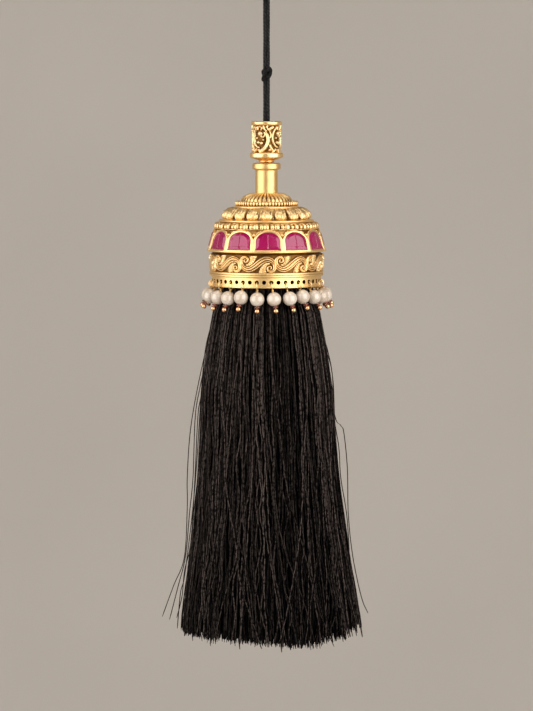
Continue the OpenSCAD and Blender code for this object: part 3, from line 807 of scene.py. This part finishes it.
def petal_ring():
    """Domed petals with a streaked and stippled skin, laid down the slope of the dome."""
    parts = Parts()
    rng = np.random.default_rng(SEED + 2)
    across, down = 22, 26
    uu, vv = np.meshgrid(np.linspace(-1, 1, across), np.linspace(0, 1, down))
    slope_r = 9.85 + 3.25 * vv + 0.75 * np.sin(vv * math.pi)
    slope_z = PLATE_Z - 0.55 + (PETAL_LOW - PLATE_Z + 0.55) * vv**1.1
    upper = 0.66 + 0.34 * np.sin(clamp(vv / 0.4) * math.pi / 2)
    lower = 0.30 + 0.70 * np.sqrt(clamp(1 - (clamp(vv - 0.55) / 0.45) ** 2.6))
    half_angle = 0.93 * math.pi / PETALS * np.where(vv < 0.55, upper, lower)
    bulge = clamp(1 - np.abs(uu) ** 2.2) ** 0.6 * clamp(1 - np.abs(2 * vv - 1) ** 3.6) ** 0.5
    grid = np.arange(uu.size).reshape(uu.shape)
    edge = np.concatenate([grid[0], grid[1:, -1], grid[-1, -2::-1], grid[-2:0:-1, 0]])
    after = np.roll(edge, -1)
    front = quads(down, across, wrap_cols=False)
    sides = np.stack([edge, after, after + uu.size, edge + uu.size], axis=1)
    for i in range(PETALS):
        streaks, lean = rng.uniform(3.6, 5.2), rng.uniform(-0.35, 0.35)
        ribs = 0.11 * np.cos((uu + lean * vv) * math.pi * streaks + rng.uniform(0, TAU)) * (bulge > 0.3)
        speckle = rng.standard_normal(uu.shape)
        for row in range(1, down):
            speckle[row] = 0.6 * speckle[row - 1] + 0.8 * speckle[row]
        lift = 1.2 * bulge + ribs + 0.10 * speckle * (bulge > 0.2)
        angle = i * TAU / PETALS + uu * half_angle
        outer = around(slope_r - 0.35 + lift * 0.82, angle, slope_z + lift * 0.45)
        inner = around(slope_r - 0.9, angle, slope_z - 0.2)
        # Painted light and shade: bright on the bulge and the rib tops, dark at the edges and in the furrows,
        # with speckle that follows the stipple; black on the inside.
        tones = 0.78 * bulge + 0.15 + 2.4 * ribs + 0.20 * speckle
        parts.add([outer, inner], [front[:, ::-1], front + uu.size, sides], [tones, np.zeros(uu.shape)])
    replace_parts(parts.build("cap_petals", GOLD_STIPPLED, "gold"), "cap")


# Arcade: each arch has its own flat that leans back with the wall

def on_arcade(i, points):
    """Points of an arch's flat (x round, y up the slope, z outwards), put in place."""
    x, y, z = np.moveaxis(np.asarray(points, dtype=float), -1, 0)
    out = ARCH_FOOT_R + z * math.cos(ARCADE_LEAN) - y * math.sin(ARCADE_LEAN)
    up = ARCH_FOOT_Z + y * math.cos(ARCADE_LEAN) + z * math.sin(ARCADE_LEAN)
    turn = math.radians(FIRST_ARCH + i * 360 / ARCHES)
    return around(out, turn, up) + around(x, turn + math.pi / 2)


def arch_outline(grow):
    """Outline of an arch with a flat foot, from the foot's left end."""
    half = RUBY_W / 2 + grow
    rise = half * 0.78
    spring = RUBY_H + grow - rise
    foot = [(t * (half + FOOT_FLARE), -grow) for t in np.linspace(-1, 1, 9)]
    right = [(half + FOOT_FLARE * (1 - t) ** 1.5, -grow + (spring + grow) * t) for t in (0.25, 0.5, 0.75)]
    arc = [(half * math.cos(a), spring + rise * math.sin(a)) for a in np.linspace(0, math.pi, 21)]
    left = [(-x, y) for x, y in reversed(right)]
    return np.array(foot + right + arc + left)


def at_height(flat, z):
    """Points of a flat outline, raised to a height or to one for each."""
    return np.concatenate([flat, np.broadcast_to(z, len(flat))[:, None]], axis=1)


def between_arches(i):
    """The outward and sideways directions between arch i and the next."""
    angle = math.radians(FIRST_ARCH + (i + 0.5) * 360 / ARCHES)
    return around(1.0, angle), around(1.0, angle + math.pi / 2)


def bezels():
    """Rounded gold strips round each stone, and the posts between them."""
    parts = Parts()
    # Strip section as (across, lift, tone); the tone is painted light and shade, bright on the rounded top
    # and dark at the foot.
    strip = [
        (-0.35, -1.2, 0.1), (0.37, -1.2, 0.1), (0.37, 0.05, 0.5), (0.28, 0.17, 0.7), (0.10, 0.23, 0.8),
        (-0.14, 0.24, 0.9), (-0.29, 0.18, 0.9), (-0.36, 0.05, 0.6),
    ]
    middle = arch_outline(BEZEL_W / 2)
    aside = directions(middle, closed=True)[:, ::-1] * [1, -1]
    rings = [at_height(middle + aside * across, lift) for across, lift, _ in strip]
    tones = [tone for _, _, tone in strip]
    y = np.linspace(-0.6, 3.3, 6)[:, None]
    post_r = (ARCH_FOOT_R - y * math.sin(ARCADE_LEAN)) / math.cos(math.pi / ARCHES)
    post_z = ARCH_FOOT_Z + y * math.cos(ARCADE_LEAN)
    for i in range(ARCHES):
        parts.add(on_arcade(i, rings), [quads(len(strip), len(middle), True)], tones)
        out, _ = between_arches(i)
        post = out * post_r + [0, 0, 1] * post_z
        add_sweep(parts, post, circle_section(1.0, 12) * [0.40, 0.20], up=out, value=0.65)
    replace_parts(parts.build("cap_bezels", GOLD_BRIGHT, "gold", sharp=60), "cap")


def spandrels():
    """Granules and small bars in the corners between the heads of the arches."""
    parts = Parts()
    bar = [(16.05, 0.15, -84.7), (16.1, 0.55, -83.7), (15.9, 1.35, -82.75), (15.7, 2.2, -82.45)]
    for i in range(ARCHES):
        out, side = between_arches(i)
        add_ball(parts, out * 16.15 + [0, 0, -83.55], 0.46)
        for sign in (1, -1):
            path = [out * r + side * sign * x + [0, 0, z] for r, x, z in bar]
            add_sweep(parts, smooth_path(path, 9), circle_section(0.17, 6), up=out)
    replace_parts(parts.build("cap_spandrels", GOLD, "gold"), "cap")


def rubies():
    """Arched stones with bevelled edges, and a table that bends at a middle ridge."""
    back, shoulder = arch_outline(0.0), arch_outline(-RUBY_BEVEL)
    n = len(back)
    table_z = RUBY_PROUD + 0.04
    fall = 0.13 * np.abs(shoulder[:, 0]) / (RUBY_W / 2 - RUBY_BEVEL)
    stone = np.concatenate([
        at_height(back, RUBY_PROUD - RUBY_DEPTH),
        at_height(back, -0.03),
        at_height(arch_outline(-0.04), 0.03),
        at_height(arch_outline(0.07 - RUBY_BEVEL), 0.29),
        at_height(shoulder, table_z - fall),
        [(0.0, RUBY_H / 2, table_z)],
    ])
    faces = [quads(5, n), fan(4 * n, n, 5 * n), np.arange(n)[None, ::-1]]
    section = [(-0.26, -0.04), (0.0, 0.10), (0.26, -0.04), (0.0, -0.14)]
    lifts = [(0.32, 0.16), (0.88, RUBY_PROUD), (RUBY_H - 0.88, RUBY_PROUD), (RUBY_H - 0.32, 0.16)]
    ridge = [[(x, y, lift + z) for x, z in section] for y, lift in lifts]
    for i in range(ARCHES):
        parts = Parts()
        parts.add(on_arcade(i, stone), faces)
        parts.add(on_arcade(i, ridge), tube(4, 4))
        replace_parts(parts.build(f"ruby_stone_{i + 1}", RUBY, "ruby", sharp=9), f"ruby_{i + 1}")


def scroll_band():
    obj = relief_ring(
        "cap_scrolls", BAND_R, BAND_R - 0.7, BAND_LOW - 0.05, BAND_TOP + 0.05, scroll_height, BAND_RELIEF,
        1020, 58, 1.6,
    )
    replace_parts(obj, "cap")


def pierced_rim():
    """The rim wall with round holes: a patch of wall for each hole, inside and out, and two edge rings."""
    sides = 16
    circle = circle_section(1.0, sides)
    square = circle / np.abs(circle).max(axis=1, keepdims=True)
    reach = np.where(square[:, 1] > 0, MOULDING_LOW + 0.05 - HOLE_Z, HOLE_Z - RIM_LOW)
    patch = square * np.stack([np.full(sides, math.pi / HOLES * RIM_R), reach], axis=1)
    hole = circle * HOLE_D / 2
    inner_r = RIM_R - RIM_WALL
    # Rings as (radius, outline, tone); the tone paints a highlight on each hole's lip, shade inside the hole
    # and on the inner wall.
    rings = [(RIM_R, patch, 0.62), (RIM_R, hole + 0.04 * circle, 0.75), (RIM_R - 0.05, hole, 0.05),
             (inner_r, hole, 0.0), (inner_r, patch, 0.3)]
    tones = [tone for _, _, tone in rings]
    parts = Parts()
    for i in range(HOLES):
        middle = math.radians(FIRST_DROP) + i * TAU / HOLES
        points = [around(r, middle + flat[:, 0] / RIM_R, HOLE_Z + flat[:, 1]) for r, flat, _ in rings]
        parts.add(points, [quads(len(rings), sides, True)], tones)
    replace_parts(parts.build("cap_rim", GOLD, "gold", sharp=35), "cap")
    edge = Parts()
    near, far = inner_r - 0.03, RIM_R + 0.12
    for z, bulge in ((RIM_LOW, 0.13), (MOULDING_LOW - 0.1, 0.1)):
        profile = [(near, z - bulge), (far, z - bulge), (far, z + bulge), (near, z + bulge)]
        add_ring(edge, rounded(profile, 0.12, 3), 192)
    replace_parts(edge.build("cap_rim_edges", GOLD, "gold", sharp=40), "cap")


# Drops

def rotation(axis, angle):
    """The matrix of a turn about axis 0, 1 or 2."""
    a, b = (axis + 1) % 3, (axis + 2) % 3
    matrix = np.eye(3)
    matrix[a, a] = matrix[b, b] = math.cos(angle)
    matrix[b, a], matrix[a, b] = math.sin(angle), -math.sin(angle)
    return matrix


def drop_frame(i):
    """Middle and axes of drop i's eye, then the eye's lowest point and the axes of the wire below it.

    The drop sways about its rim hole, and leans out below its eye.
    """
    degrees = FIRST_DROP + i * 360 / DROPS
    angle = math.radians(degrees)
    side = math.sin(angle) ** 2
    uneven = 3 * side * math.sin(math.radians(i * 137))
    lean = -math.radians(LEAN_FRONT + (LEAN_SIDE - LEAN_FRONT) * side + uneven)
    sway = -math.radians(np.interp(degrees % 360, SWAY_ANGLES, SWAY))
    turn = rotation(2, angle) @ rotation(1, sway)
    hole = around(EYE_CENTRE_R, angle, HOLE_Z)
    eye = hole + turn[:, 2] * (EYE_CENTRE_Z - HOLE_Z)
    return eye, turn, eye - turn[:, 2] * EYE_R, turn @ rotation(0, lean)


def drop_pins():
    """Wire eyes through the rim, wrapped above each pearl, with an end ball below."""
    wires, balls = Parts(), Parts()
    eye = polar(EYE_R, full_turn(28))[:, [2, 1, 0]]
    s = np.linspace(0, 1, 34)
    for i in range(DROPS):
        eye_centre, turn, foot, axes = drop_frame(i)
        pearl_z = -PEARL_BELOW_EYE + (0.4 if i % 4 == 2 else 0)
        add_sweep(wires, eye @ turn.T + eye_centre, circle_section(WIRE_D / 2, 8), True, turn[:, 0])
        ball_z = pearl_z - (SPACER_TOP + SPACER_H + END_BALL_D / 2 + 0.05)
        pin = polar(0.0, 0.0, np.linspace(0, ball_z, 6))
        add_sweep(wires, pin @ axes.T + foot, circle_section(PIN_D / 2, 8), up=axes[:, 0])
        wrap = polar(WRAP_R, s * TAU * WRAP_TURNS, -0.1 + (0.15 + pearl_z + PEARL_D / 2) * s)
        add_sweep(wires, wrap @ axes.T + foot, circle_section(WRAP_WIRE_R, 6), up=axes[:, 2])
        add_ball(balls, foot + axes[:, 2] * ball_z, END_BALL_D / 2, 12, 18)
    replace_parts(wires.build("drop_wires", GOLD_BRIGHT, "drop_wire", sharp=50), "drop_pins")
    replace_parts(balls.build("drop_end_balls", ROSE_GOLD, "drop_wire"), "drop_pins")


def carried_over():
    """CAD pearls and spacer beads keep their shape, and get their materials."""
    for name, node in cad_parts.items():
        if name.startswith(("pearl_", "spacer_")):
            material = PEARL if name.startswith("pearl_") else SPACER
            for slot in node.material_slots:
                slot.material = material
            if not node.material_slots:
                node.data.materials.append(material)


# Tassel

def tassel_radius(z):
    return np.interp(z, TASSEL_Z, TASSEL_R)


def tassel_shift(z):
    return TASSEL_DRIFT * np.maximum(0, (-105 - z) / 100) ** 1.5


def hanging(r, angle, z):
    """Points round the tassel's middle line, which drifts to the right. The angle starts at the right."""
    return np.stack([tassel_shift(z) + r * np.cos(angle), r * np.sin(angle), z], axis=-1)


def thread_piece(name, paths, radius, tones, sides):
    """One piece of thin tubes: paths is threads by points by 3."""
    threads, count = paths.shape[:2]
    angle = np.arctan2(paths[..., 1], paths[..., 0] - tassel_shift(paths[..., 2]))
    reach = radius[:, None] * np.where(np.arange(count) < count - 1, 1.0, 0.55)
    points = np.stack([paths + polar(reach, angle + a) for a in full_turn(sides)], axis=2)
    starts = np.arange(threads)[:, None, None] * count * sides
    faces = [(block + starts).reshape(-1, block.shape[1]) for block in tube(count, sides)]
    # The tone falls from the head to the tips.
    fade = np.repeat(np.linspace(1.05, 0.55, count), sides)
    parts = Parts()
    parts.add(points, faces, tones[:, None] * fade)
    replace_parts(parts.build(f"tassel_threads_{name}", THREAD_BLACK, "black_thread"), "tassel")


def thread_paths(rng, threads, count, near, far, wave, tip_spread, clumping, stray):
    """Threads that leave the cap and follow the tassel's outline, from near to far under it.

    Each keeps to its lock, which gathers and drifts as one; a share of strays crosses over the locks.
    """
    one, three = (threads, 1), (threads, 3)
    start_angle = rng.uniform(0, TAU, one)
    depth = rng.uniform(near, far, one)
    lock = TAU / LOCKS
    index = np.floor(start_angle / lock).astype(int) % LOCKS
    gather = clumping * rng.uniform(0.2, 1.0, one)
    drift = LOCK_DRIFT[index] + rng.normal(0, 0.018, one)
    strays = rng.random(one) < stray
    drift = np.where(strays, rng.uniform(0.15, 0.75, one) * rng.choice([-1, 1], one), drift)
    phase = rng.uniform(0, TAU, three)
    length = rng.uniform(14, 50, three)
    height = wave * rng.uniform(0.3, 1.0, three)
    tip = np.interp(np.cos(start_angle), TIP_SIDE, TIP_Z) + tip_spread * rng.standard_normal(one)
    s = np.linspace(0, 1, count)
    z = TASSEL_TOP + (tip - TASSEL_TOP) * s
    middle = (index + 0.5) * lock + LOCK_SHIFT[index]
    clump = gather * ~strays * np.sin(clamp(s * 1.4) * math.pi / 2) ** 2 * (1 - 0.9 * s**2)
    angle = start_angle * (1 - clump) + middle * clump + drift * s ** np.where(strays, 2.0, 1.4)
    round_lock = 0.45 * np.cos((angle - middle) / lock * math.pi) * np.minimum(1, 4 * s)
    r = tassel_radius(z) - 0.3 - depth * (0.8 + 0.5 * s) + np.where(strays, 0.3, round_lock)
    swings = [np.sin(z / length[:, [k]] * TAU + phase[:, [k]]) * height[:, [k]] for k in range(3)]
    r = r + 0.6 * swings[0] * s
    for swing in swings[1:]:
        angle = angle + swing * s**0.6 / np.maximum(r, 4)
    crimp = rng.uniform(3.4, 6.5, one)
    angle = angle + 0.09 * np.sin(z / crimp * TAU + phase[:, :1]) / r
    return hanging(r, angle, z)


def loose_threads(rng, count):
    """Threads that stand off at the sides as in the photograph, and a few at the front and back."""
    paths = []
    for line in LOOSE_THREADS:
        side = math.copysign(1, line[0][0])
        smooth = smooth_path([(side * 13.0, -98.0), (side * 14.4, -106.0)] + line, count)
        depth = np.linspace(0, rng.uniform(-3, 3), count)
        paths.append(np.stack([smooth[:, 0], depth, smooth[:, 1]], axis=1))
    s = np.linspace(0, 1, count)
    for k in range(8):
        angle = (0.5 + k % 2) * math.pi + rng.normal(0, 0.45)
        z = -98 + (rng.uniform(-204.5, -200) + 98) * s
        r = tassel_radius(z) + rng.uniform(0.8, 3.4) * s ** rng.uniform(0.8, 2.2) - 0.2
        r = r + 0.3 * np.sin(s * TAU * rng.uniform(1.5, 4) + rng.uniform(0, TAU)) * s
        paths.append(hanging(r, angle, z))
    return np.array(paths)


def heart_threads(rng, threads, count):
    """Short threads that fill the tassel's foot, as far as its middle."""
    one = (threads, 1)
    angle = rng.uniform(0, TAU, one)
    r = HEART_R * np.sqrt(rng.uniform(0, 1, one))
    tip = np.interp(np.cos(angle) * r / HEART_R, TIP_SIDE, TIP_Z) + 0.5 * rng.standard_normal(one)
    s = np.linspace(0, 1, count)
    z = HEART_TOP + (tip - HEART_TOP) * s
    return hanging((r - 1.0) * (0.88 + 0.12 * s), angle + 0.03 * rng.standard_normal(one) * s, z)


def tassel():
    """Layers of fine silk threads, darker as painted shade in the deeper layers, over a black core that
    stands in for the shaded inside, with loose threads at the sides.
    """
    rng = np.random.default_rng(SEED + 3)
    profile = CORE_HEAD + [(tassel_radius(z) - 3.0, z) for z in CORE_Z] + [(19.5, -196.5), (2.0, -197.0)]
    points = revolved(profile, 64)
    points[..., 0] += tassel_shift(points[..., 2])
    core = Parts()
    # The core's tone of 0 makes it black, a stand-in for shade.
    core.add(points, tube(*points.shape[:2]), 0.0)
    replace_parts(core.build("tassel_core", THREAD_BLACK, "black_thread"), "tassel")
    for name, threads, count, sides, *lay, tone, thickness in LAYERS:
        paths = thread_paths(rng, threads, count, *lay)
        # Painted shade: each layer's tone is lower the deeper it lies, varied at random from thread to
        # thread.
        tones = tone * rng.uniform(0.2, 1.0, threads) ** 1.6
        radius = thickness * rng.uniform(0.16, 0.23, threads)
        thread_piece(name, paths, radius, tones, sides)
    paths = heart_threads(rng, HEART_THREADS, 4)
    tones = rng.uniform(0.1, 0.6, HEART_THREADS)
    thread_piece("heart", paths, np.full(HEART_THREADS, 0.38), tones, 3)
    paths = loose_threads(rng, 60)
    thread_piece("loose", paths, np.full(len(paths), 0.14), np.full(len(paths), 0.5), 4)


# Studio

def backdrop():
    """Pale seamless floor and round wall."""
    colours = [(0.3, (0.68, 0.65, 0.62)), (0.7, (0.72, 0.69, 0.66))]
    material = clouded_material("backdrop", (3.0, 2.0, 0.5), colours, {"Roughness": 0.9})
    floor_z, wall_r, wall_top, bend, turns = -1500.0, 2400.0, 2600.0, 1200.0, 96
    curve = np.linspace(0, math.pi / 2, 14)
    line = [(60.0, floor_z), (700.0, floor_z)]
    line += [(wall_r - bend + bend * math.sin(a), floor_z + bend - bend * math.cos(a)) for a in curve]
    line.append((wall_r, wall_top))
    points = np.concatenate([revolved(line, turns).reshape(-1, 3), [[0, 0, floor_z]]])
    faces = [quads(len(line), turns), fan(0, turns, len(points) - 1)]
    mesh_object("backdrop", points, faces, material)


def lights():
    """Two tall soft boxes in front, a weak one above, and a dim warm surrounding."""
    bpy.context.scene.view_settings.view_transform = "Standard"
    world = bpy.context.scene.world = bpy.data.worlds.new("studio")
    world.use_nodes = True
    set_inputs(world.node_tree.nodes["Background"], {"Color": (0.30, 0.24, 0.20, 1), "Strength": 0.25})
    middle = Vector((0, 0, -0.12))
    for name, azimuth, distance, rise, wide, tall, power in (
        ("softbox_left", -62, 1.15, 0.22, 1.6, 1.7, 19.5),
        ("softbox_right", 47, 1.15, 0.22, 1.5, 1.7, 22),
        ("fill_top", 0, 0.4, 2.1, 0.9, 0.9, 8),
    ):
        light = bpy.data.lights.new(name, "AREA")
        light.shape, light.size, light.size_y = "RECTANGLE", wide, tall
        light.energy, light.color = power, (1.0, 0.96, 0.90)
        aimed(name, light, middle + Vector(around(distance, math.radians(azimuth), rise)), middle)


collar()
cap_neck()
cap_crown()
cap_dome()
ring_of_beads("cap_upper_beads", UPPER_BEADS_Z - 0.05, UPPER_BEADS_R + 0.03, 0.98, 0.88, 1.42)
ring_of_beads("cap_lower_beads", LOWER_BEADS_Z - 0.17, LOWER_BEADS_R + 0.05, 1.95, 1.46, 1.15, 0.10)
bead_scallops()
petal_ring()
bezels()
spandrels()
rubies()
scroll_band()
pierced_rim()
drop_pins()
carried_over()
tassel()
backdrop()
lights()
